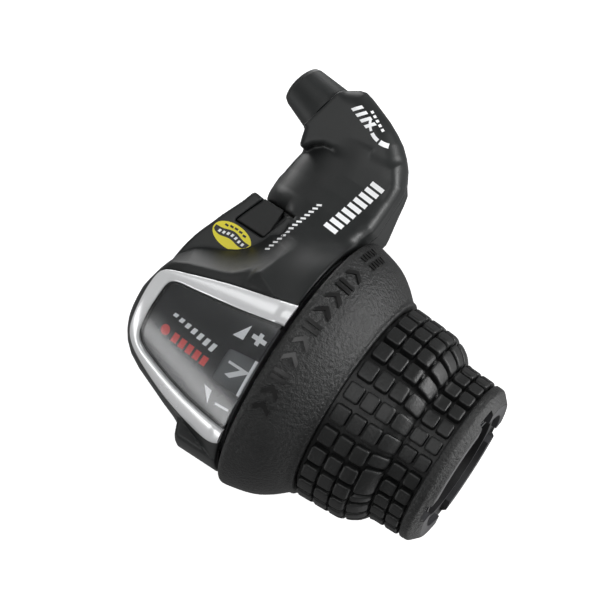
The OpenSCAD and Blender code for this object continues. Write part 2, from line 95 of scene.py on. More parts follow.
def noise(t, scale, detail=4.0, roughness=0.55):
    coord = t.nodes.get("coord") or t.nodes.new("ShaderNodeTexCoord")
    coord.name = "coord"
    n = t.nodes.new("ShaderNodeTexNoise")
    n.inputs["Scale"].default_value = scale
    n.inputs["Detail"].default_value = detail
    n.inputs["Roughness"].default_value = roughness
    t.links.new(coord.outputs["Object"], n.inputs["Vector"])
    return n.outputs["Fac"]


def ramp(t, value, stops):
    r = t.nodes.new("ShaderNodeValToRGB")
    els = r.color_ramp.elements
    while len(els) < len(stops):
        els.new(0.5)
    for e, (at, col) in zip(els, stops):
        e.position = at
        e.color = (*col, 1) if len(col) == 3 else col
    t.links.new(value, r.inputs["Fac"])
    return r.outputs["Color"]


def span(t, value, lo, hi):
    r = t.nodes.new("ShaderNodeMapRange")
    r.inputs["From Min"].default_value = 0.3
    r.inputs["From Max"].default_value = 0.7
    r.inputs["To Min"].default_value = lo
    r.inputs["To Max"].default_value = hi
    t.links.new(value, r.inputs["Value"])
    return r.outputs["Result"]


def bump(t, bsdf, value, distance, strength=1.0, under=None):
    b = t.nodes.new("ShaderNodeBump")
    b.inputs["Distance"].default_value = distance
    b.inputs["Strength"].default_value = strength
    t.links.new(value, b.inputs["Height"])
    if under is not None:
        t.links.new(under, b.inputs["Normal"])
    t.links.new(b.outputs["Normal"], bsdf.inputs["Normal"])
    return b.outputs["Normal"]


def grained(name, dark, light, rough=(0.4, 0.55), grain=2600.0, depth=0.00004,
            strength=0.5, metallic=0.0, mottle=90.0, **sockets):
    """Moulded, printed or plated finish: mottled colour, uneven gloss and a fine grain."""
    m, t, bsdf = new_material(name)
    wide = noise(t, mottle, 3.0)
    fine = noise(t, grain, 5.0, 0.6)
    t.links.new(ramp(t, wide, [(0.3, dark), (0.7, light)]), bsdf.inputs["Base Color"])
    t.links.new(span(t, wide, *rough), bsdf.inputs["Roughness"])
    bsdf.inputs["Metallic"].default_value = metallic
    bump(t, bsdf, fine, depth, strength)
    for socket, value in sockets.items():
        bsdf.inputs[socket.replace("_", " ")].default_value = value
    return m


def lens_material():
    m, t, bsdf = new_material("smoky_lens")
    wide = noise(t, 60.0, 2.0)
    t.links.new(ramp(t, wide, [(0.3, (0.86, 0.87, 0.88)), (0.7, (0.90, 0.91, 0.92))]),
                bsdf.inputs["Base Color"])
    t.links.new(span(t, wide, 0.02, 0.04), bsdf.inputs["Roughness"])
    t.links.new(span(t, wide, 0.20, 0.26), bsdf.inputs["Coat Roughness"])
    bsdf.inputs["Transmission Weight"].default_value = 1.0
    bsdf.inputs["IOR"].default_value = 1.05
    bsdf.inputs["Coat Weight"].default_value = 1.0
    bsdf.inputs["Coat IOR"].default_value = 1.49
    return m


MAT = {
    "cover": grained("cover_satin", (0.013, 0.0142, 0.0142), (0.017, 0.0185, 0.0185), (0.36, 0.46),
                     2400.0, 0.00003, 0.35, Specular_IOR_Level=0.36),
    "outlet": grained("outlet_satin", (0.015, 0.0165, 0.0165), (0.020, 0.022, 0.022), (0.42, 0.52),
                      2400.0, 0.00003, 0.35, Specular_IOR_Level=0.36),
    "door": grained("door_grain", (0.009, 0.0095, 0.0095), (0.012, 0.013, 0.013), (0.45, 0.6),
                    2600.0, 0.00004, 0.5, Specular_IOR_Level=0.36),
    "rubber": grained("rubber_grain", (0.006, 0.0064, 0.0064), (0.010, 0.0105, 0.0105),
                      (0.38, 0.50), 1300.0, 0.0004, 1.0, Specular_IOR_Level=0.5),
    "block": grained("rubber_block", (0.006, 0.0064, 0.0064), (0.010, 0.0105, 0.0105),
                     (0.38, 0.52), 1700.0, 0.00010, 0.8, Specular_IOR_Level=0.4),
    "embossed": grained("rubber_embossed", (0.003, 0.003, 0.003), (0.006, 0.006, 0.006),
                        (0.26, 0.34), 1700.0, 0.00003, 0.4),
    # bezel: the plating is real, but the near-white base colour, mostly diffuse at metallic 0.3,
    # is painted reflection of the white surroundings a plated frame would mirror
    "chrome_and_painted_sheen": grained("bezel_chrome", (0.88, 0.89, 0.90), (0.94, 0.95, 0.96), (0.20, 0.28),
                      900.0, 0.00001, 0.1, 0.3),
    "panel": grained("panel_print", (0.012, 0.013, 0.014), (0.020, 0.021, 0.023), (0.35, 0.5),
                     3000.0, 0.00001, 0.2),
    "white": grained("print_white", (0.90, 0.91, 0.92), (0.94, 0.95, 0.96), (0.45, 0.6),
                     3200.0, 0.00001, 0.3),
    "red": grained("print_red", (0.70, 0.05, 0.045), (0.80, 0.08, 0.07), (0.45, 0.6),
                   3200.0, 0.00001, 0.3),
    "yellow": grained("label_yellow", (0.80, 0.70, 0.015), (0.88, 0.78, 0.03), (0.32, 0.45),
                      2000.0, 0.00001, 0.2),
    "ink": grained("label_ink", (0.010, 0.010, 0.010), (0.016, 0.016, 0.016), (0.4, 0.5),
                   2000.0, 0.00001, 0.2),
    "dial": grained("dial_satin", (0.150, 0.158, 0.162), (0.175, 0.184, 0.190), (0.4, 0.5),
                    2400.0, 0.00002, 0.3),
    "nylon": grained("nylon_black", (0.008, 0.008, 0.009), (0.012, 0.012, 0.013), (0.42, 0.55),
                     2200.0, 0.00003, 0.4),
    "core": grained("core_nylon", (0.020, 0.020, 0.022), (0.028, 0.028, 0.031), (0.4, 0.55),
                    2200.0, 0.00003, 0.4),
    "steel": grained("zinc_steel", (0.40, 0.41, 0.42), (0.52, 0.53, 0.54), (0.25, 0.4),
                     1200.0, 0.00002, 0.4, 1.0),
    "spring": grained("spring_steel", (0.52, 0.53, 0.54), (0.62, 0.63, 0.64), (0.18, 0.3),
                      1200.0, 0.00001, 0.3, 1.0),
    "sintered": grained("sintered_ring", (0.34, 0.32, 0.27), (0.44, 0.41, 0.35), (0.35, 0.5),
                        3000.0, 0.00003, 0.6, 1.0),
    "brass": grained("brass_stop", (0.62, 0.46, 0.19), (0.74, 0.56, 0.25), (0.2, 0.32),
                     1500.0, 0.00001, 0.3, 1.0),
    "acetal": grained("drum_acetal", (0.50, 0.51, 0.52), (0.60, 0.61, 0.62), (0.35, 0.45),
                      2000.0, 0.00002, 0.3),
    "ivory": grained("washer_nylon", (0.66, 0.66, 0.61), (0.76, 0.76, 0.72), (0.4, 0.5),
                     2000.0, 0.00002, 0.3),
    "lens": lens_material(),
    "floor": grained("studio_floor", (0.90, 0.90, 0.90), (0.92, 0.92, 0.92), (0.8, 0.9),
                     40.0, 0.00001, 0.1, Emission_Color=(1, 1, 1, 1), Emission_Strength=0.72),
}

CAD_FINISH = {
    "bracket": "nylon", "cable_outlet": "outlet", "casing_stop": "brass", "cable_liner": "ivory",
    "detent_spring": "spring", "spring_screw": "steel", "clamp_bolt": "steel",
    "clamp_washer": "steel", "clamp_nut": "steel", "cover_screws": "steel",
    "bezel_screws": "steel", "thrust_washer": "ivory", "end_washer": "ivory",
    "retaining_ring": "spring", "grip_core": "core", "cable_drum": "acetal",
    "detent_ring": "sintered", "drum_screws": "steel", "number_dial": "dial",
}

# ---------------- mesh helpers


def add_mesh(name, verts, faces, finish, body, slot, replaces=(), angle=None):
    """A piece from points in millimetres; edges sharper than the angle stay crisp."""
    me = bpy.data.meshes.new(name)
    me.from_pydata([tuple(v) for v in np.asarray(verts) * MM], [], [tuple(f) for f in faces])
    me.validate()
    bm = bmesh.new()
    bm.from_mesh(me)
    bmesh.ops.remove_doubles(bm, verts=bm.verts, dist=1e-8)
    bmesh.ops.recalc_face_normals(bm, faces=bm.faces)
    bm.to_mesh(me)
    bm.free()
    ob = bpy.data.objects.new(name, me)
    scene.collection.objects.link(ob)
    me.materials.append(MAT[finish])
    me.shade_smooth()
    if angle is not None:
        me.set_sharp_from_angle(angle=math.radians(angle))
    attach(ob, body)
    if replaces:
        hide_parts(*replaces)
    return ob


def grid_faces(n, m, wrap_n=False, wrap_m=False):
    faces = []
    for i in range(n if wrap_n else n - 1):
        for j in range(m if wrap_m else m - 1):
            a, b = i * m + j, ((i + 1) % n) * m + j
            c, d = ((i + 1) % n) * m + (j + 1) % m, i * m + (j + 1) % m
            faces.append((a, b, c, d))
    return faces


CONE_RADIUS, CONE_SLOPE, CONE_STEEP = 27.3, 0.355, 1.061
ARC_RADIUS = 22.3


def cone_r(x):
    """Radius of the display's cone at a station along the bar."""
    return CONE_RADIUS + CONE_SLOPE * (x + 1)


def height_along(points, x):
    """Height of a line through points, read off at x."""
    return np.interp(x, *zip(*points))


# ---------------- solids as distances


def from_outline(u, v, points):
    """Signed distance to a closed polygon, negative inside."""
    p = np.asarray(points, float)
    best, inside = None, None
    for a, b in zip(p, np.roll(p, -1, axis=0)):
        e, wu, wv = b - a, u - a[0], v - a[1]
        k = np.clip((wu * e[0] + wv * e[1]) / (e @ e), 0, 1)
        d = (wu - e[0] * k) ** 2 + (wv - e[1] * k) ** 2
        best = d if best is None else np.minimum(best, d)
        if a[1] != b[1]:
            crosses = ((a[1] > v) != (b[1] > v)) & (u < a[0] + (v - a[1]) * e[0] / e[1])
            inside = crosses if inside is None else inside ^ crosses
    return np.where(inside, -1.0, 1.0) * np.sqrt(best)


def near_line(u, v, points):
    """Distance to an open line in plan and the height of its nearest point."""
    best, height = None, None
    for a, b in zip(points, points[1:]):
        ex, ey = b[0] - a[0], b[1] - a[1]
        k = np.clip(((u - a[0]) * ex + (v - a[1]) * ey) / (ex * ex + ey * ey), 0, 1)
        d = np.hypot(u - a[0] - ex * k, v - a[1] - ey * k)
        h = a[2] + (b[2] - a[2]) * k
        if best is None:
            best, height = d, h
        else:
            height = np.where(d < best, h, height)
            best = np.minimum(best, d)
    return best, height


def soft_min(a, b, k):
    """Either of two solids, with a blend of width k between them."""
    h = np.maximum(k - np.abs(a - b), 0) / k
    return np.minimum(a, b) - h * h * k / 4


def soft_max(a, b, k):
    """Both at once, with a blend of width k along the edge."""
    return -soft_min(-a, -b, k)


def round_max(a, b, r):
    """Both at once, with a true round of that radius along the edge."""
    return np.minimum(np.maximum(a, b), -r) + np.hypot(np.maximum(a + r, 0), np.maximum(b + r, 0))


# The covers' outlines: TURNED is (x, radius), RIDGE (x, y, z), NECK_LINE and NECK_FLOOR (y, z),
# the others plans (x, y). FOOT and RIDGE are the lower and upper edge of the slope by the boss.
BOSS_TOP, HEAD_HALF_HEIGHT = 12.0, 5.6
TURNED = [(-0.9, 0), (-0.9, 26.8), (-1.2, 27.1), (-10.1, 27.2), (-10.55, 26.9), (-11.1, 25.8),
          (-11.65, 24.6), (-12.3, 23.75), (-14.0, 22.95), (-17.3, 21.8), (-20.4, 20.6),
          (-25.4, 18.7), (-28.3, 17.2), (-30.1, 15.7), (-31.2, 14.3), (-31.8, 13.2), (-32, 12.4),
          (-32, 0)]
NOSE_SIDES = [(-32.5, -60), (-31.9, -4), (-30.6, 1), (-29.5, 4), (-29.2, 7), (-28.6, 10),
              (-27.8, 12.4), (-26.3, 16.4), (-24.3, 20.8), (-22, 28), (10, 40), (10, -60)]
BOSS = [(-29.4, 4), (-29.15, 7), (-28.6, 10), (-27.8, 12.4), (-26.3, 16.4), (-24.3, 20.85),
        (-23.55, 23.1), (-23.2, 23.6), (-22.8, 23.65), (-20.9, 23.2), (-12, 23.2), (-12, 4)]
FOOT = [(-34, 2.6), (-31, 3.4), (-29.3, 5.1), (-27.3, 8.0), (-25.7, 9.2), (-23.8, 10.1),
        (-21.6, 11.0), (-19.7, 12.1), (-18.3, 13.3), (-17.2, 14.9), (-16.3, 16.6),
        (-15.7, 18.3), (-15.1, 20), (-14.7, 21.8), (-14.2, 25.0), (-13.6, 30)]
RIDGE = [(-34, 1.2, 13.4), (-31, 2.3, 14.4), (-28.4, 3.7, 15.8), (-25.4, 4.8, 17.2),
         (-21.6, 5.8, 18.6), (-18.6, 6.8, 19.4), (-16.3, 7.8, 19.9), (-14.4, 9.1, 20.4),
         (-13.0, 10.4, 20.6), (-11.9, 11.8, 20.4), (-11.0, 13.4, 19.8), (-10.4, 15.2, 18.8),
         (-9.9, 17.2, 17.2), (-9.5, 19.6, 15.1), (-9.3, 22, 13.2), (-9.2, 25, 11), (-9.2, 30, 8.6)]
NECK_LINE = [(8, 25), (12, 21.6), (16, 18.1), (20, 14.7), (24, 11.6), (28, 9.3), (32, 7.7),
             (36, 6.5), (40, 5.9), (46, 5.6), (60, 5.6)]
NECK_FLOOR = [(8, -24), (14, -21), (20, -19), (26, -16.4), (29, -14.6), (32, -12.2), (36, -9),
              (40, -6.4), (46, -5.6), (60, -5.5)]
NECK = [(-0.9, 6), (-0.85, 26), (-0.4, 28.2), (0.15, 29.6), (0.2, 31), (0.1, 34), (0.0, 38),
        (-0.2, 40), (-3, 44), (-20, 42), (-22.4, 37.6), (-22.75, 35.6), (-23.4, 33.4),
        (-23.9, 31.3), (-24.2, 29.2), (-24.1, 27.5), (-23.65, 25.2), (-23.2, 23.9),
        (-14, 23.7), (-12.7, 14), (-12.2, 9.5), (-11.5, 6)]
HEAD = [(-0.5, 33), (0.0, 38), (-0.15, 40), (-0.9, 42), (-2, 44), (-3.6, 45.9), (-5.6, 47.7),
        (-7.9, 49.1), (-10.5, 50.4), (-13, 51.35), (-15.6, 52.3), (-17.4, 52.75), (-18.7, 52.4),
        (-19.8, 51.6), (-20.75, 50.9), (-28, 52.6), (-30.5, 40.6), (-23.35, 39.75),
        (-22.95, 38.2), (-22.5, 36.85), (-22.15, 36.35), (-21.4, 36.5), (-20.3, 37.9),
        (-18.5, 39.1), (-16.4, 39.35), (-13.3, 38.3), (-10.3, 36.5), (-8.45, 34.7), (-6, 33)]
DOOR = [(-23.3, 17), (-16.9, 17), (-15.3, 21.9), (-15.1, 23.4), (-20.9, 23.4)]
HATCH_FRONT = [(-21.2, 22), (-16.3, 22), (-16.3, 23.5), (-20.8, 23.5)]
DOOR_CAP = [(-23.3, 17), (-16.75, 17), (-15.15, 21.9), (-14.95, 23.55), (-20.84, 23.55)]
DOOR_SKIRT = [(-20.9, 22.3), (-16.6, 22.3), (-16.6, 23.4), (-20.6, 23.4)]
BARREL_EDGE, BARREL_WIDTH, BARREL_DROP = -9.4, 14.4, 12.5
OUTLET_AT = np.array([-22, 45.4, 0.0])
OUTLET_TURN, OUTLET_DROP = math.radians(13.8), math.radians(6)
OUTLET_DIR = np.array([-math.cos(OUTLET_TURN) * math.cos(OUTLET_DROP),
                       math.sin(OUTLET_TURN) * math.cos(OUTLET_DROP), -math.sin(OUTLET_DROP)])
SLANT = math.tan(CAMERA_TILT)
DISPLAY_LO, DISPLAY_HI = math.radians(-66.5), math.radians(93)


def along_outlet(x, y, z):
    """Distance past the outlet's foot, in the cable's direction."""
    return sum((p - at) * to for p, at, to in zip((x, y, z), OUTLET_AT, OUTLET_DIR))


def sector(y, z, lo, hi):
    """Negative between two clock angles less than half a turn apart."""
    a = y * math.cos(lo) - z * math.sin(lo)
    b = y * math.cos(hi) - z * math.sin(hi)
    return np.maximum(-a, b)


def ramp_top(x, y):
    """Height of the slope between the boss and the ridge, and its steepness in plan."""
    foot = from_outline(x, y, FOOT + [(-13.6, 60), (-60, 60), (-60, 2.6)])
    ridge = from_outline(x, y, [p[:2] for p in RIDGE] + [(-9.2, 60), (-60, 60), (-60, 1.6)])
    _, zr = near_line(x, y, RIDGE)
    width = np.maximum(foot - ridge, 0.5)
    s = np.clip(foot / width, 0, 1)
    rise = zr + 0.35 - BOSS_TOP
    z = BOSS_TOP + rise * s + 1.6 * np.maximum(ridge, 0)
    steep = np.where(s > 0, rise / width, 0)
    return z, np.sqrt(1 + steep * steep)


def neck_solid(x, y, z):
    """The arm between shroud and head: rounded over at the left, dipped at the front."""
    top = height_along(NECK_LINE, y)
    cone = np.sqrt(np.maximum(cone_r(x) ** 2 - y * y, 1))
    top = np.where(y < 16, np.minimum(top, cone + 0.5 * np.maximum(y - 8, 0)), top)
    left = np.clip((BARREL_EDGE - x) / BARREL_WIDTH, 0, 0.985)
    top = top - BARREL_DROP * (1 - np.sqrt(1 - left * left))
    front = np.clip((27.4 - y) / 4.2, 0, 1) * np.clip((-14.6 - x) / 2.6, 0, 1)
    top = top - 3.6 * front * front
    over = (z - top) / np.sqrt(1.3 + 0.75 * left * left / (1 - left * left))
    under = (height_along(NECK_FLOOR, y) - z) / 1.2
    walls = from_outline(x, y, NECK)
    d = np.where(x > -9, round_max(walls, over, 2.4), soft_max(walls, over, 0.8))
    return round_max(d, under, 0.8)


def head_solid(x, y, z):
    """The end of the arm, cut square to the cable outlet."""
    soft = 1.0 + 3.6 * np.clip((x + 0.9 * (y - 40) + 17) / 9, 0, 1)
    d = round_max(from_outline(x, y, HEAD), np.abs(z - 0.05) - HEAD_HALF_HEIGHT, soft)
    return soft_max(d, along_outlet(x, y, z), 0.5)


def covers_outside(x, y, z):
    """Outer shape of both covers: shroud, display cone, nose, boss, ramp, neck and head."""
    r = np.hypot(y, z)
    d = from_outline(x, r, TURNED)
    cone = (r - cone_r(x)) / CONE_STEEP
    away = np.maximum(-cone, sector(y, z, DISPLAY_LO, DISPLAY_HI))
    d = soft_max(d, -away, 0.8)
    d = soft_max(d, from_outline(x - (z - BOSS_TOP) * SLANT, y, NOSE_SIDES), 0.9)
    boss = round_max(from_outline(x, y, BOSS), np.abs(z) - BOSS_TOP, 0.55)
    neck = neck_solid(x, y, z)
    d = soft_min(d, neck, 1.4)
    zt, steep = ramp_top(x, y)
    beside = np.maximum(from_outline(x, y, [(-60, 0), (-5, 0), (-5, 23.7), (-60, 23.7)]), 0)
    d = soft_max(d, (z - zt) / steep - 0.9 * beside, 0.35)
    d = np.minimum(d, boss)
    return soft_min(d, head_solid(x, y, z), 0.9)


# The hollows: CHAMBER_TOP, under the display, and CHAMBER, elsewhere, are (x, radius). LUG_ROOM
# is a plan, and BEZEL_OUT and BEZEL_IN are (x, clock in degrees).
CHAMBER = [(2, 0), (2, 25.5), (-10, 25.5), (-12.6, 21.6), (-27, 16.2), (-30.4, 14.4),
           (-30.4, 12.2), (-36, 12.2), (-36, 0)]
CHAMBER_TOP = [(2, 0), (2, 25.4), (-2, 25.4), (-8.6, 23.6), (-8.7, 22.5), (-9.7, 22.4),
               (-9.8, 20.95), (-13.25, 20.95), (-13.4, 15.5), (-15.4, 14.45), (-25.6, 14.45),
               (-26, 12.4), (-36, 12.2), (-36, 0)]
LUG_ROOM = [(-25.2, 9.6), (-24.6, 16.6), (-21.6, 21.2), (-14.5, 21.2), (-14.5, 9.6)]
BORE_RADIUS, LUG_HALF_HEIGHT, KEY_WAY_TOP = 12.2, 9, -7
BOLT, BOLT_ROOM = (-20.4, 16.4), 4.9
POSTS = [(-18.4, 30.2), (-15.4, 37.2), (-17, -17.4)]
SCREW_HEAD_ROOM, SCREW_ROOM = 2.15, 1.15
SCREW_SEAT, SCREW_MIDDLE, SCREW_HALF_LENGTH = -5.2, -3, 6.4
HATCH_GAP, HATCH_FLOOR, LEDGE_INSET, LEDGE_FLOOR = 0.2, 10.35, 0.7, 8.4
POCKET_GAP, POCKET_DEPTH, WINDOW_INSET, WINDOW_FLOOR, DISPLAY_ARC = 0.12, 0.7, 0.6, 14.6, 40
SOCKET_RADIUS, SOCKET_DEPTH = 4.05, 3.5
BEZEL_OUT = [(-0.6, 20.3), (-5, 18.8), (-10.3, 17.1), (-15.5, 15), (-20.8, 11.6), (-24, 9),
             (-26.5, 7.0), (-28.2, 4.8), (-29.2, 1.5), (-29.6, -4), (-29.75, -15), (-29.7, -26),
             (-29.6, -37), (-29.3, -45.5), (-28.3, -52.9), (-26.4, -58.6), (-23.5, -62.3),
             (-18.5, -65.4), (-13.1, -64), (-7.6, -60.2), (-4.2, -57.2), (-2.2, -54),
             (-0.9, -50.5)]
BEZEL_IN = [(-0.6, 10.2), (-5, 8.9), (-10.1, 7), (-15.4, 5.5), (-20.8, 3.5), (-23.6, 2.6),
            (-25.3, 1.3), (-26.2, -1), (-26.6, -5.2), (-26.8, -14.6), (-26.95, -21),
            (-27, -28), (-27, -36), (-26.8, -42), (-26.2, -46.6), (-24.8, -49.4),
            (-22.6, -50.2), (-17.3, -50.6), (-12, -49.2), (-6.6, -46.3), (-3.4, -44.5),
            (-2.0, -43.6), (-0.9, -42.8)]


def unrolled(points):
    """Stations and clock angles as millimetres of arc on the cone at station -15."""
    return [(x, math.radians(a) * ARC_RADIUS) for x, a in points]


def disc(x, y, at, r):
    return np.hypot(x - at[0], y - at[1]) - r


def inner_room(x, y, z):
    """What is hollow behind the covers: the grip's room, the bore and the clamp's lugs."""
    r = np.hypot(y, z)
    high = sector(y, z, DISPLAY_LO - 0.05, math.radians(81))
    room = np.minimum(np.maximum(from_outline(x, r, CHAMBER), -high),
                      np.maximum(from_outline(x, r, CHAMBER_TOP), high))
    bore = np.maximum(r - BORE_RADIUS, x - 4)
    lug_height = np.abs(z) - LUG_HALF_HEIGHT
    lugs = round_max(from_outline(x, y, LUG_ROOM), lug_height, 0.6)
    lugs = np.minimum(lugs, np.maximum(disc(x, y, BOLT, BOLT_ROOM), lug_height))
    return np.minimum(np.minimum(room, bore), lugs)


def display_room(x, y, z):
    """The bezel's pocket and the window under the lens."""
    r = np.hypot(y, z)
    arc = np.arctan2(y, z) * ARC_RADIUS
    outer = from_outline(x, arc, unrolled(BEZEL_OUT) + [(3, -22), (3, 9)])
    inner = from_outline(x, arc, unrolled(BEZEL_IN) + [(3, -17), (3, 5)])
    pocket = np.maximum(outer - POCKET_GAP, cone_r(x) - POCKET_DEPTH - r)
    window = np.maximum(inner + WINDOW_INSET, WINDOW_FLOOR - r)
    return np.maximum(np.minimum(pocket, window), np.abs(arc) - DISPLAY_ARC)


def openings(x, y, z):
    """The door's hatch with its ledge, the bolt's key way, screw holes and outlet socket."""
    doorway = from_outline(x, y, DOOR)
    hatch = np.minimum(np.maximum(doorway - HATCH_GAP, HATCH_FLOOR - z),
                       np.maximum(doorway + LEDGE_INSET, LEDGE_FLOOR - z))
    hatch_front = np.maximum(from_outline(x, y, HATCH_FRONT), 1 - z)
    key_way = np.maximum(disc(x, y, BOLT, BOLT_ROOM), z - KEY_WAY_TOP)
    holes = np.minimum(np.minimum(hatch, hatch_front), key_way)
    for post in POSTS:
        holes = np.minimum(holes, np.maximum(disc(x, y, post, SCREW_HEAD_ROOM), z - SCREW_SEAT))
        shank = np.abs(z - SCREW_MIDDLE) - SCREW_HALF_LENGTH
        holes = np.minimum(holes, np.maximum(disc(x, y, post, SCREW_ROOM), shank))
    along = along_outlet(x, y, z)
    away2 = sum((p - at) ** 2 for p, at in zip((x, y, z), OUTLET_AT)) - along ** 2
    off = np.sqrt(np.maximum(away2, 0))
    return np.minimum(holes, np.maximum(off - SOCKET_RADIUS, -SOCKET_DEPTH - along))


def covers_solid(x, y, z):
    hollow = np.minimum(np.minimum(inner_room(x, y, z), openings(x, y, z)), display_room(x, y, z))
    return np.maximum(covers_outside(x, y, z), -hollow)


def surface_net(d, start, step):
    """Quads round the zero level of a grid of distances."""
    inside = d < 0
    n = np.array(d.shape) - 1
    count = np.zeros(n, np.uint8)
    corners = [(i, j, k) for i in (0, 1) for j in (0, 1) for k in (0, 1)]
    for i, j, k in corners:
        count += inside[i:n[0] + i, j:n[1] + j, k:n[2] + k]
    active = (count > 0) & (count < 8)
    index = np.full(n, -1, np.int64)
    cells = np.argwhere(active)
    index[active] = np.arange(len(cells))
    total, hits = np.zeros((len(cells), 3)), np.zeros(len(cells))
    for a in corners:
        for axis in range(3):
            if a[axis]:
                continue
            b = list(a)
            b[axis] = 1
            va = d[tuple((cells + a).T)]
            vb = d[tuple((cells + b).T)]
            m = (va < 0) != (vb < 0)
            at = np.tile(np.array(a, float), (m.sum(), 1))
            at[:, axis] += va[m] / (va[m] - vb[m])
            total[m] += at
            hits[m] += 1
    verts = np.asarray(start) + step * (cells + total / hits[:, None])
    quads = []
    for axis in range(3):
        u, v = [k for k in range(3) if k != axis]
        lo = [slice(None)] * 3
        hi = [slice(None)] * 3
        lo[axis], hi[axis] = slice(0, -1), slice(1, None)
        change = inside[tuple(lo)] != inside[tuple(hi)]
        at = np.argwhere(change)
        at = at[(at[:, u] > 0) & (at[:, v] > 0) & (at[:, u] < n[u]) & (at[:, v] < n[v])]
        ring = []
        for du, dv in ((-1, -1), (0, -1), (0, 0), (-1, 0)):
            c = at.copy()
            c[:, u] += du
            c[:, v] += dv
            ring.append(index[tuple(c.T)])
        quads.append(np.stack(ring, axis=1))
    return verts, np.concatenate(quads)


def settle(f, p, rounds=3, most=0.15):
    """Moves points onto the zero level of f."""
    e = 0.02
    for _ in range(rounds):
        d = f(*p.T)
        g = np.stack([(f(*(p + e * np.eye(3)[k]).T) - f(*(p - e * np.eye(3)[k]).T)) / (2 * e)
                      for k in range(3)], axis=1)
        g2 = np.maximum((g * g).sum(1), 0.05)
        move = -(d / g2)[:, None] * g
        size = np.linalg.norm(move, axis=1, keepdims=True)
        p = p + move * np.minimum(1, most / np.maximum(size, 1e-9))
    return p


def carve(name, f, lo, hi, step, **kw):
    """A piece whose surface is the zero level of f, found on a grid between two corners."""
    axes = [np.arange(a, b + step, step) for a, b in zip(lo, hi)]
    x, y, z = np.meshgrid(*axes, indexing="ij", sparse=True)
    d = np.broadcast_to(f(x, y, z), tuple(len(a) for a in axes)).astype(np.float64)
    verts, quads = surface_net(d, lo, step)
    verts = settle(f, verts)
    return add_mesh(name, verts, quads, **kw)


STEP = 0.34
UPPER_FOOT, LOWER_TOP = 0.06, -0.02


def upper_part(x, y, z):
    return np.maximum(covers_solid(x, y, z), UPPER_FOOT - z)


def lower_part(x, y, z):
    return np.maximum(covers_solid(x, y, z), z - LOWER_TOP)


upper = carve("cover_upper_skin", upper_part, (-33.01, -28.01, -1.02), (1, 54, 27), STEP,
              finish="cover", body="root", slot="cover_plastic", replaces=["upper_cover"])
carve("cover_lower_skin", lower_part, (-33.01, -28.01, -28.02), (1, 54, 1), STEP,
      finish="cover", body="root", slot="cover_plastic", replaces=["lower_cover"])

# ---------------- twist grip

# Profiles of the rubber are (x, radius); COLUMNS are the ends of each ring of blocks.
BELL = [(0.3, 25.3), (0.3, 26.6), (0.35, 27.5), (0.7, 28.1), (1.2, 28.29), (1.9, 28.25),
        (2.8, 28.05), (4.0, 27.8), (5.2, 27.5), (6.4, 27.15), (7.6, 26.7), (8.8, 26.1),
        (10, 25.3), (11.2, 24.4), (12.2, 23.5), (13, 22.75), (13.5, 22.45), (13.9, 22.45),
        (14.2, 22.2), (14.25, 21.2)]
BLOCK_TOPS = [(14.2, 21.95), (14.8, 21.9), (22, 21.55), (24.4, 21.35), (25.6, 20.85),
              (26.8, 20.3), (28, 19.5), (29.1, 18.3), (30.4, 17.85), (33, 17.8), (36.3, 17.7)]
COLUMNS = [(15.0, 18.3), (18.75, 21.8), (22.2, 25.3), (25.75, 29.15), (29.6, 32.6), (33.0, 35.8)]
COLLAR = [(36.3, 16.8), (36.35, 17.4), (36.6, 17.62), (37.7, 17.6), (38.2, 17.5), (38.6, 17.15),
          (39.1, 16.62), (39.6, 16.1), (39.9, 15.75), (40, 15.55), (39.9, 15.43),
          (38.5, 15.42), (36.95, 15.42), (36.9, 13.76)]
NOTCH_CLOCKS, NOTCH_FLOOR, LIP_RADIUS = (43, 137, 223, 317), 38.75, 16.45
ROWS = 27
ROW_TURN = 360 / ROWS
ROW_PHASE = 3.8
BLOCK_HALF_TURN = 5.05
GROOVE_DEPTH = 1.6
CORNER, EDGE_ROUND = 0.6, 0.42
CORE_RADIUS = 13.76
PAD_COLUMN, PAD_CLOCK, PAD_HALF_TURN = 3, -37.2, 9.4


def dense(points, most):
    """The same line with no stretch longer than most."""
    out = [points[0]]
    for a, b in zip(points, points[1:]):
        n = max(1, math.ceil(math.hypot(b[0] - a[0], b[1] - a[1]) / most))
        out += [(a[0] + (b[0] - a[0]) * k / n, a[1] + (b[1] - a[1]) * k / n)
                for k in range(1, n + 1)]
    return out


def rounded(points, passes=2):
    """The same line with its corners cut, twice by default."""
    for _ in range(passes):
        new = [points[0]]
        for a, b in zip(points, points[1:]):
            new += [(a[0] * 0.75 + b[0] * 0.25, a[1] * 0.75 + b[1] * 0.25),
                    (a[0] * 0.25 + b[0] * 0.75, a[1] * 0.25 + b[1] * 0.75)]
        points = new + [points[-1]]
    return points


def turned_points(profile, clocks):
    """Grid of points of a profile (station, radius) turned about X."""
    x = np.array([p[0] for p in profile])
    r = np.array([p[1] for p in profile])
    c = np.radians(clocks)
    return (np.broadcast_to(x, (len(c), len(x))), r[None, :] * np.sin(c)[:, None],
            r[None, :] * np.cos(c)[:, None])


def build_bell():
    """The smooth bell at the rim, a closed ring."""
    outer = dense(rounded(BELL, 1), 0.3)
    inner = [(14.0, 19.9), (13, 19.8), (11, 21.9), (7.5, 24.3), (3, 25.3), (0.3, 25.3)]
    profile = outer + dense(inner, 2.0)
    n = 360
    x, y, z = turned_points(profile, np.arange(n) * 360 / n)
    v = np.stack([x, y, z], axis=-1).reshape(-1, 3)
    return add_mesh("grip_bell", v, grid_faces(n, len(profile), True, True), "rubber", "grip",
                    "grip_rubber", ["grip_rubber"])


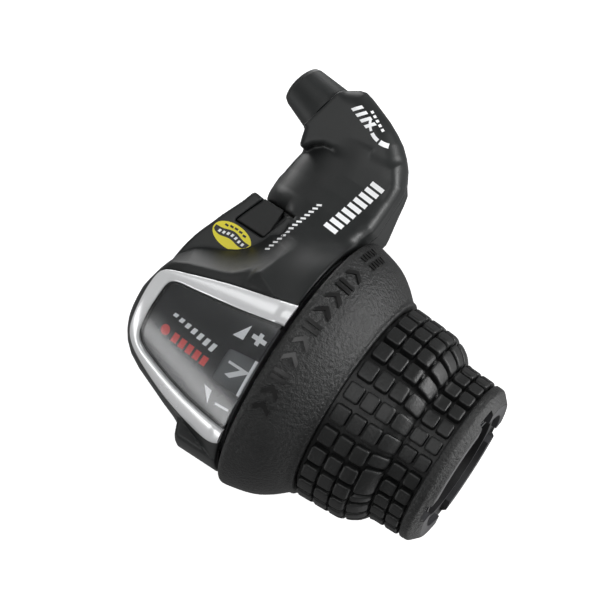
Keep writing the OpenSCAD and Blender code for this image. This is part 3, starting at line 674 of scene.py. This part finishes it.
def block_height(x, clock):
    """0 in the grooves and 1 on the blocks of the barrel, with rounded corners and edges."""
    row = np.round((clock - ROW_PHASE) / ROW_TURN)
    r = np.interp(x, *zip(*BLOCK_TOPS))
    to_mm = np.radians(1) * r
    height = np.zeros(np.broadcast(x, clock).shape)

    def mound(u, v, half_u, half_v):
        a, b = np.abs(u) - half_u + CORNER, np.abs(v) - half_v + CORNER
        d = np.hypot(np.maximum(a, 0), np.maximum(b, 0)) + np.minimum(np.maximum(a, b), 0) - CORNER
        k = np.clip(-d / EDGE_ROUND, 0, 1)
        fall = (1 - np.sqrt(1 - (1 - k) ** 2)) * EDGE_ROUND / GROOVE_DEPTH
        return np.where(d < 1e-6, 1 - fall, 0)

    for i, (x0, x1) in enumerate(COLUMNS):
        centre = ROW_PHASE + row * ROW_TURN
        half = np.full(centre.shape, BLOCK_HALF_TURN)
        if i == PAD_COLUMN:
            off = centre - PAD_CLOCK
            near = np.abs(off) < 1.6 * ROW_TURN
            inner = PAD_CLOCK + np.sign(off) * (PAD_HALF_TURN + 2.6)
            outer = centre + np.sign(off) * BLOCK_HALF_TURN
            trimmed = near & (np.abs(off) > 5)
            centre = np.where(trimmed, (inner + outer) / 2, centre)
            half = np.where(trimmed, np.abs(outer - inner) / 2, half)
            pad = near & ~trimmed | (np.abs(clock - PAD_CLOCK) < PAD_HALF_TURN)
            centre = np.where(pad, PAD_CLOCK, centre)
            half = np.where(pad, PAD_HALF_TURN, half)
        u = (clock - centre) * to_mm
        height = np.maximum(height, mound(u, x - (x0 + x1) / 2, half * to_mm, (x1 - x0) / 2))
    return height


def build_blocks():
    """Six rings of blocks on the barrel of the grip, cut from one skin."""
    fine = 0.16
    xs = [14.2, 14.6]
    for x0, x1 in COLUMNS:
        edge = [0.0, 0.04, 0.10, 0.18, 0.28, EDGE_ROUND]
        middle = np.linspace(CORNER, x1 - x0 - CORNER, max(3, round((x1 - x0) / (3 * fine))))
        xs += [x0 - 0.06] + [x0 + e for e in edge] + [x0 + m for m in middle]
        xs += [x1 - e for e in reversed(edge)] + [x1 + 0.06]
    xs = np.array(xs + [36.3])
    half = BLOCK_HALF_TURN / ROW_TURN
    edges = (0.012, 0.0, -0.003, -0.007, -0.013, -0.02, -0.03, -0.045)
    shares = [0.5] + [half + e for e in edges]
    shares += list(np.linspace(half - 0.08, 0, 8))
    shares = sorted(set([round(k, 5) for k in shares] + [round(-k, 5) for k in shares if k < 0.5]))
    clocks = np.array([ROW_PHASE + (row + k) * ROW_TURN for row in range(ROWS) for k in shares])
    clocks = (clocks + 180) % 360 - 180
    height = block_height(xs[None, :], clocks[:, None] + 0 * xs[None, :])
    r = np.interp(xs, *zip(*BLOCK_TOPS))[None, :] - GROOVE_DEPTH * (1 - height)
    c = np.radians(clocks)[:, None]
    x = np.broadcast_to(xs[None, :], r.shape)
    n, m = r.shape
    v = np.stack([x, r * np.sin(c), r * np.cos(c)], axis=-1).reshape(-1, 3)
    ends = np.stack([np.stack([0 * c[:, 0] + xs[k], CORE_RADIUS * np.sin(c[:, 0]),
                               CORE_RADIUS * np.cos(c[:, 0])], axis=-1) for k in (0, -1)], axis=1)
    verts = np.concatenate([v, ends.reshape(-1, 3)])
    faces = grid_faces(n, m, True, False)
    base = n * m
    for i in range(n):
        k = (i + 1) % n
        a, b, c2, d = base + 2 * i, base + 2 * i + 1, base + 2 * k + 1, base + 2 * k
        faces += [(a, b, c2, d), (i * m, a, d, k * m), (i * m + m - 1, k * m + m - 1, c2, b)]
    return add_mesh("grip_blocks", verts, faces, "block", "grip", "grip_rubber", angle=60)


def build_collar():
    """Smooth end ring; its lip is cut through at the four notches of the core."""
    profile = [(36.3, CORE_RADIUS)] + rounded(COLLAR, 1)
    clocks = []
    for k in range(4):
        start, end = NOTCH_CLOCKS[k], NOTCH_CLOCKS[(k + 1) % 4] + (360 if k == 3 else 0)
        clocks += [start - 8.5, start - 8.3, start, start + 8.3]
        clocks += list(np.linspace(start + 8.5, end - 8.5, 24)[:-1])
    clocks = np.array(clocks)
    x, y, z = turned_points(profile, clocks)
    r = np.hypot(y, z)
    notched = np.min([np.abs((clocks - c + 180) % 360 - 180) for c in NOTCH_CLOCKS], axis=0) < 8.4
    low = notched[:, None] & (r < LIP_RADIUS) & (x > NOTCH_FLOOR)
    x = np.where(low, NOTCH_FLOOR, x)
    v = np.stack([x, y, z], axis=-1).reshape(-1, 3)
    return add_mesh("grip_collar", v, grid_faces(len(clocks), len(profile), True, True), "rubber",
                    "grip", "grip_rubber", angle=40)


build_bell()
build_blocks()
build_collar()

# ---------------- display


def on_cone(x, clock_deg, lift):
    """Points on the display's cone, raised by lift."""
    c = np.radians(clock_deg)
    r = cone_r(x) + lift
    return np.stack([x + 0 * c, r * np.sin(c), r * np.cos(c)], axis=-1)


def smooth_path(points, n):
    """n points evenly along a line through the given points, corners eased."""
    p = np.array(rounded(points, 2), float)
    arc = np.radians(p[:, 1]) * ARC_RADIUS
    run = np.concatenate([[0], np.cumsum(np.hypot(np.diff(p[:, 0]), np.diff(arc)))])
    t = np.linspace(0, run[-1], n)
    return np.stack([np.interp(t, run, p[:, 0]), np.interp(t, run, p[:, 1])], axis=1)


def build_bezel():
    """Chrome frame, its near-white diffuse base a painted reflection: one section swept from the
    outer edge to the inner one, open at the rim.
    """
    n = 200
    out, inn = smooth_path(BEZEL_OUT, n), smooth_path(BEZEL_IN, n)
    section = [(0.0, -0.62), (0.0, 0.05), (0.03, 0.26), (0.10, 0.40), (0.3, 0.47), (0.5, 0.50),
               (0.7, 0.46), (0.88, 0.34), (0.95, 0.20), (1.0, 0.0), (1.0, -0.62)]
    rows = []
    for s, h in section:
        p = out * (1 - s) + inn * s
        flare = 0.28 * np.clip((p[:, 0] + 3.6) / 1.2, 0, 1) * (0.2 < s < 0.99)
        rows.append(on_cone(p[:, 0], p[:, 1], h + flare * (h > 0)))
    v = np.stack(rows, axis=1)
    m = len(section)
    faces = grid_faces(n, m, False, True)
    faces += [tuple(range(m)), tuple((n - 1) * m + k for k in reversed(range(m)))]
    return add_mesh("bezel_frame", v.reshape(-1, 3), faces, "chrome_and_painted_sheen", "root", "bezel_chrome",
                    ["bezel"], angle=35)


LENS_ENDS, LENS_FOOT, LENS_TOP, LENS_CROWN, LENS_GAP = (-26.9, -1.0), -0.75, 0.05, 0.12, 0.05


def build_lens(stations=60, columns=48):
    """A curved sheet over the display's cone, inside the bezel and crowned along its middle."""
    path = smooth_path(BEZEL_IN, 240)
    front, back = path[path[:, 1] > -20], path[path[:, 1] <= -20]
    crown = LENS_CROWN * (1 - np.linspace(-1, 1, columns) ** 2)
    tops, feet = [], []
    for x in np.linspace(*LENS_ENDS, stations):
        gap = math.degrees(LENS_GAP / cone_r(x))
        high = np.interp(x, front[::-1, 0], front[::-1, 1]) - gap
        low = np.interp(x, back[:, 0], back[:, 1]) + gap
        clocks = np.linspace(low, high, columns)
        tops.append(on_cone(np.full(columns, x), clocks, LENS_TOP + crown))
        feet.append(on_cone(np.full(columns, x), clocks, LENS_FOOT))
    n = stations * columns
    faces = grid_faces(stations, columns)
    faces += [tuple(n + k for k in f[::-1]) for f in faces]
    rim = ([i * columns for i in range(stations)]
           + [(stations - 1) * columns + j for j in range(1, columns)]
           + [i * columns + columns - 1 for i in range(stations - 2, -1, -1)]
           + list(range(columns - 2, 0, -1)))
    faces += [(a, b, n + b, n + a) for a, b in zip(rim, rim[1:] + rim[:1])]
    v = np.concatenate([np.array(tops).reshape(-1, 3), np.array(feet).reshape(-1, 3)])
    return add_mesh("lens_shell", v, faces, "lens", "root", "lens_clear", ["lens"], angle=40)


build_bezel()
build_lens()

# ---------------- printed marks


def cut_to_cells(bm, cell):
    """Cuts a plan mesh along a grid, so that it can be laid on a curve."""
    bm.normal_update()
    bmesh.ops.triangulate(bm, faces=bm.faces)
    for axis in (0, 1):
        values = [v.co[axis] for v in bm.verts]
        k = math.ceil(min(values) / cell) * cell
        while k < max(values):
            co, no = Vector((0, 0, 0)), Vector((0, 0, 0))
            co[axis], no[axis] = k, 1
            bmesh.ops.bisect_plane(bm, geom=bm.verts[:] + bm.edges[:] + bm.faces[:], dist=1e-6,
                                   plane_co=co, plane_no=no)
            k += cell
    bm.normal_update()
    bmesh.ops.triangulate(bm, faces=bm.faces)
    return bm


def flat_mesh(outlines, cell=0.5):
    """Plan mesh of closed outlines."""
    bm = bmesh.new()
    for outline in outlines:
        bm.faces.new([bm.verts.new((x, y, 0)) for x, y in outline])
    return cut_to_cells(bm, cell)


def numeral_outline(numeral, height, width, at, weight=0.2):
    """Plan mesh of one numeral in Blender's own font, centred at a point, in millimetres."""
    data = bpy.data.curves.new("numeral", "FONT")
    data.body = numeral
    data.size = 10
    data.offset = weight
    data.resolution_u = 3
    ob = bpy.data.objects.new("numeral", data)
    scene.collection.objects.link(ob)
    me = bpy.data.meshes.new_from_object(ob.evaluated_get(bpy.context.evaluated_depsgraph_get()))
    bpy.data.objects.remove(ob)
    bpy.data.curves.remove(data)
    bm = bmesh.new()
    bm.from_mesh(me)
    bpy.data.meshes.remove(me)
    xs = [v.co.x for v in bm.verts]
    ys = [v.co.y for v in bm.verts]
    wide = width / (max(xs) - min(xs))
    high = height / (max(ys) - min(ys))
    cx, cy = (max(xs) + min(xs)) / 2, (max(ys) + min(ys)) / 2
    for v in bm.verts:
        v.co = (at[0] + (v.co.x - cx) * wide, at[1] + (v.co.y - cy) * high, 0)
    return cut_to_cells(bm, 0.5)


def lay(name, bm, place, finish, body, slot, top=0.03, low=-0.02):
    """Lays a plan mesh on a surface as a thin film; place gives points at a height over it."""
    bmesh.ops.remove_doubles(bm, verts=bm.verts, dist=1e-5)
    bm.verts.index_update()
    plan = np.array([v.co[:] for v in bm.verts])
    faces = [tuple(v.index for v in f.verts) for f in bm.faces]
    rim = [(l.vert.index, l.link_loop_next.vert.index) for f in bm.faces for l in f.loops
           if len(l.edge.link_faces) == 1]
    bm.free()
    n = len(plan)
    verts = np.concatenate([place(plan[:, 0], plan[:, 1], h) for h in (top, low)])
    faces += [tuple(n + k for k in reversed(f)) for f in faces]
    faces += [(b, a, n + a, n + b) for a, b in rim]
    return add_mesh(name, verts, faces, finish, body, slot, angle=40)


def round_about_x(radius):
    """Places plan points (x, y) on a turned surface seen from above."""
    def place(x, y, h):
        r = radius(x) + h
        return np.stack([x, y, np.sqrt(np.maximum(r * r - y * y, 0.01))], axis=1)
    return place


def wrapped(radius, arc_r):
    """Places points (x, arc) round a turned surface, arc in millimetres at a radius."""
    def place(x, arc, h):
        r, c = radius(x) + h, arc / arc_r
        return np.stack([x, r * np.sin(c), r * np.cos(c)], axis=1)
    return place


PANEL_END = -1.1
WINDOW = [(PANEL_END, -11.3), (-7.4, -11.3), (-7.8, -11.15), (-8.05, -10.8), (-8.1, -10.4),
          (-7.85, -5.1), (-7.75, -4.7), (-7.5, -4.4), (-7.1, -4.3), (PANEL_END, -3.5)]
DIAL_RADIUS, SHOWN_CLOCK, CLICK = 23.41, -19.6, 18
on_film = round_about_x(lambda x: cone_r(x) - 0.93)
on_dial = round_about_x(lambda x: np.full(len(x), DIAL_RADIUS))


def on_skin(ob):
    """Places plan points on a piece, seen from above."""
    tree = BVHTree.FromObject(ob, bpy.context.evaluated_depsgraph_get())

    def place(x, y, h):
        z = []
        for a, b in zip(x, y):
            hit = tree.ray_cast(Vector((a, b, 60)) * MM, Vector((0, 0, -1)))
            z.append(hit[0].z / MM if hit[0] is not None else 0.0)
        return np.stack([x, y, np.array(z) + h], axis=1)

    return place


def bar(x, y, w, h, turn=0.0, lean=0.0):
    """A four-cornered mark: width along X, height along Y, leaning over."""
    c, s = math.cos(turn), math.sin(turn)
    pts = [(-w / 2 - lean, -h / 2), (w / 2 - lean, -h / 2), (w / 2 + lean, h / 2),
           (-w / 2 + lean, h / 2)]
    return [(x + a * c - b * s, y + a * s + b * c) for a, b in pts]


def oval(x, y, rx, ry, n):
    return [(x + rx * math.cos(k * math.tau / n), y + ry * math.sin(k * math.tau / n))
            for k in range(n)]


def build_panel():
    """Film round the number window, which is open towards the rim, the marks on it and a painted
    highlight band at the window's rim side.
    """
    edge = smooth_path([p for p in BEZEL_IN if p[0] < -1.5], 90)
    edge_r = cone_r(edge[:, 0]) - 0.95
    outline = [(x, r * math.sin(math.radians(c))) for (x, c), r in zip(edge, edge_r)]
    outline += [(PANEL_END, outline[-1][1])] + WINDOW + [(PANEL_END, outline[0][1])]
    film = lay("display_film", flat_mesh([outline], 0.8),
               round_about_x(lambda x: cone_r(x) - 1.15), "panel", "root", "panel_print", 0.2, 0.0)
    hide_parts("display_panel")
    ticks = [bar(-21.3 + 1.72 * k, -4.95 - 0.2 * k, 1.0, 0.75 + 0.16 * k, lean=0.12 + 0.02 * k)
             for k in range(7)]
    red_row = [oval(-21.9, -8.45, 1.05, 1.05, 24)]
    red_row += [bar(-15.2 + 1.95 * k, -9.0 - 0.13 * k, 1.35, 1.9, lean=0.14) for k in range(-2, 3)]
    arrows = [[(-8.75, -1.95), (-6.3, -1.7), (-6.3, 1.55)],
              [(-8.9, -12.95), (-6.9, -13.15), (-6.6, -15.75)]]
    across, up, half = 1.65, 1.25, 0.46
    plus = [(-across, -half), (-half, -half), (-half, -up), (half, -up), (half, -half),
            (across, -half), (across, half), (half, half), (half, up), (-half, up),
            (-half, half), (-across, half)]
    # painted highlight: a white band along the window's rim side stands in for the reflection
    # along the lens edge next to the flange; it is no print
    painted_glint_band = [(-1.75, -11.25), (-1.12, -11.25), (-1.12, -3.6), (-1.75, -3.65)]
    for name, outlines, finish in (
            ("panel_ticks", ticks, "white"),
            ("panel_red_row", red_row, "red"),
            ("panel_arrows", arrows, "white"),
            ("panel_plus", [[(x - 3.45, y + 0.05) for x, y in plus]], "white"),
            ("panel_minus", [bar(-3.4, -14.75, 3.3, 0.5, 0.09)], "white"),
            ("panel_painted_glint", [painted_glint_band], "white")):
        lay(name, flat_mesh(outlines), on_film, finish, "root", "panel_print")


def build_dial_numbers():
    """The gear numbers round the dial, one click apart."""
    for gear in range(1, 8):
        width = 4.9 if gear > 1 else 1.3
        numeral = numeral_outline(str(gear), 3.1, width, (-4.3, 0.0))
        mark = lay(f"dial_number_{gear}", numeral, on_dial, "white", "grip", "dial_plastic")
        turn = math.radians(SHOWN_CLOCK + (7 - gear) * CLICK)
        c, s = math.cos(turn), math.sin(turn)
        for v in mark.data.vertices:
            y, z = v.co.y, v.co.z
            v.co.y, v.co.z = y * c + z * s, -y * s + z * c


def build_cover_marks():
    """Plain bars, ticks and arcs where the maker's prints would be."""
    on_upper = on_skin(upper)
    lean = 0.4 * (math.atan2(11.84, 2.5) - math.pi / 2)
    bars = [bar(-6.65 + 2.5 * k / 8, 25.7 + 11.8 * k / 8, 3.0, 0.98, lean) for k in range(9)]
    ticks = [bar(-14.05 + 2.6 * k / 13, 15.5 + 12.8 * k / 13, 1.05, 0.42, 0.5)
             for k in range(14)]
    marks = [bar(-16.4 + 1.35 * k, 48.75 - 0.5 * k, 0.75, 2.1, -0.35, 0.35) for k in range(4)]
    marks += [bar(-13.6 + 0.95 * k, 49.75 - 0.5 * k, 0.6, 0.55, -0.45) for k in range(5)]
    for start, end, wide in ((200, 232, 0.5), (238, 262, 0.75), (268, 292, 1.05)):
        turns = [math.radians(start + (end - start) * k / 6) for k in range(7)]
        inner, outer = 4.6 - wide / 2, 4.6 + wide / 2
        marks.append([(-8.7 + inner * math.cos(a), 50.0 + inner * math.sin(a)) for a in turns]
                     + [(-8.7 + outer * math.cos(a), 50.0 + outer * math.sin(a))
                        for a in reversed(turns)])
    for name, outlines, cell in (("neck_bars", bars, 0.5), ("ramp_ticks", ticks, 0.4),
                                 ("head_marks", marks, 0.5)):
        lay(name, flat_mesh(outlines, cell), on_upper, "white", "root", "cover_plastic")


def bell_radius(x):
    return np.interp(x, *zip(*rounded(BELL, 1)[3:-2]))


def chevron(x, s, half, arm, thick):
    return [(x - half, s - arm), (x, s), (x + half, s - arm), (x + half, s - arm + thick),
            (x, s + thick), (x - half, s - arm + thick)]


def build_bell_marks():
    """Raised chevrons and bars where the maker's lettering would be."""
    raised = []
    for k in range(10):
        at = -11.6 + k * 3.75
        if k % 3 == 2:
            raised += [bar(4.15, at, 3.3, 0.8), bar(4.15, at + 1.35, 3.3, 0.8)]
        else:
            raised.append(chevron(4.15, at + 1.1, 1.65, 1.5, 1.15))
    for x in (3.0, 5.2):
        raised += [bar(x, 28.6 + k * 1.15, 1.4, 0.55, 0.2 * (-1) ** k) for k in range(6)]
    lay("bell_chevrons", flat_mesh(raised, 0.4), wrapped(bell_radius, 28.1), "embossed", "grip",
        "grip_rubber", 0.3, -0.15)


build_panel()
build_dial_numbers()
build_cover_marks()
build_bell_marks()

# ---------------- label and door


def build_label():
    """Plain oval with a dark waved band, cut off where the slope's foot crosses it."""
    cx, cy, rx, ry = -22.1, 13.75, 4.3, 2.5
    limit = FOOT + [(-13.6, 60), (-60, 60), (-60, 2.6)]

    def clipped(points, room):
        out = []
        for x, y in points:
            k = 1.0
            while from_outline(np.array([cx + (x - cx) * k]), np.array([cy + (y - cy) * k]),
                               limit)[0] > -room and k > 0.2:
                k -= 0.01
            out.append((cx + (x - cx) * k, cy + (y - cy) * k))
        return out

    def place(x, y, h):
        return np.stack([x, y, np.full(len(x), BOSS_TOP) + h], axis=1)

    base = lay("label_oval", flat_mesh([clipped(oval(cx, cy, rx, ry, 72), 0.12)]), place,
               "yellow", "root", "label_print", 0.08, 0.0)
    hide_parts("boss_label")
    xs = np.linspace(-rx * 0.93, rx * 0.93, 30)
    half = 0.85 * np.maximum(1 - (xs / (rx * 0.97)) ** 2, 0) ** 0.3
    wave = 0.25 * np.sin(xs * 1.15 + 1.6)
    band = [(cx + a, cy + h + w) for a, h, w in zip(xs, half, wave)]
    band += [(cx + a, cy - h + w) for a, h, w in zip(xs, half, wave)][::-1]
    dots = [bar(cx + a, cy + 1.75 - 0.08 * a * a, 0.75, 0.42) for a in np.arange(-2.1, 2.2, 1.05)]
    lay("label_band", flat_mesh([clipped(band, 0.16)] + dots), place, "ink", "root",
        "label_print", 0.11, 0.07)
    dashes = [bar(cx + a, cy + 0.25 * math.sin(a * 1.15 + 1.6), 0.5, 0.62, 0, 0.08)
              for a in np.arange(-2.7, 2.8, 0.9)]
    lay("label_dashes", flat_mesh(dashes), place, "white", "root", "label_print", 0.14, 0.1)


def door_piece(x, y, z):
    """The small door: a cap that leans down to the front, over a skirt."""
    lean = 0.16 * np.maximum(y - 19.5, 0)
    top = round_max(from_outline(x, y, DOOR_CAP), np.abs(z - 11.22 + lean) - 0.72, 0.25)
    skirt = round_max(from_outline(x, y, DOOR_SKIRT), np.abs(z - 6.2) - 4.7, 0.3)
    return soft_min(top, skirt, 0.3)


build_label()
carve("door_cap", door_piece, (-25.0, 16.5, 1.0), (-16.4, 24.2, 12.5), 0.22, finish="door",
      body="door", slot="door_plastic", replaces=["cable_door"])

# ---------------- carried-over nodes

for node, finish in CAD_FINISH.items():
    for material_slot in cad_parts[node].material_slots:
        material_slot.material = MAT[finish]

# ---------------- studio

FLOOR_HALF, FLOOR_Z = 1.2, -28.6 * MM
LIGHTS_AIM = Vector((-8, 12, 5)) * MM


def make_floor():
    me = bpy.data.meshes.new("studio_floor")
    half, z = FLOOR_HALF, FLOOR_Z
    me.from_pydata([(-half, -half, z), (half, -half, z), (half, half, z), (-half, half, z)], [],
                   [(0, 1, 2, 3)])
    ob = bpy.data.objects.new("studio_floor", me)
    scene.collection.objects.link(ob)
    me.materials.append(MAT["floor"])
    ob.visible_glossy = False
    ob.visible_diffuse = False


def softbox(name, toward, distance, size, brightness):
    """An area light that looks at the object from a direction; 1 is as bright as white paper."""
    data = bpy.data.lights.new(name, "AREA")
    data.shape = "RECTANGLE"
    data.size, data.size_y = size
    data.energy = brightness * math.pi * size[0] * size[1]
    ob = bpy.data.objects.new(name, data)
    scene.collection.objects.link(ob)
    toward = Vector(toward).normalized()
    ob.location = LIGHTS_AIM + toward * distance
    ob.rotation_euler = toward.to_track_quat("Z", "Y").to_euler()
    return ob


def table_light(name, at, size, brightness):
    """The bright table beside the object, seen only in its reflections."""
    ob = softbox(name, (0, 0, -1), 0.03, size, brightness)
    ob.location = Vector(at) * MM
    ob.rotation_euler = (math.pi, 0, 0)
    ob.visible_camera = False


make_floor()
softbox("softbox_top", (0.1, 0.1, 1), 0.7, (0.5, 0.5), 2.4)
softbox("softbox_right", (0.75, 0.62, 0.12), 0.6, (0.45, 0.2), 13.0)
softbox("softbox_end", (0.97, 0.05, 0.1), 0.6, (0.4, 0.2), 1.8)
softbox("softbox_left", (-0.6, -0.78, 0.06), 0.6, (0.45, 0.2), 3.1)
softbox("softbox_behind", (-0.6, 0.42, 0.62), 0.7, (0.4, 0.3), 1.3)
table_light("table_left", (-110, 125, -27), (0.14, 0.16), 2.9)
table_light("table_right", (130, 40, -27), (0.15, 0.2), 1.3)
world = bpy.data.worlds.new("studio")
scene.world = world
world.use_nodes = True
world.node_tree.nodes["Background"].inputs["Color"].default_value = (1, 1, 1, 1)
world.node_tree.nodes["Background"].inputs["Strength"].default_value = 0.24
scene.view_settings.view_transform = "Standard"
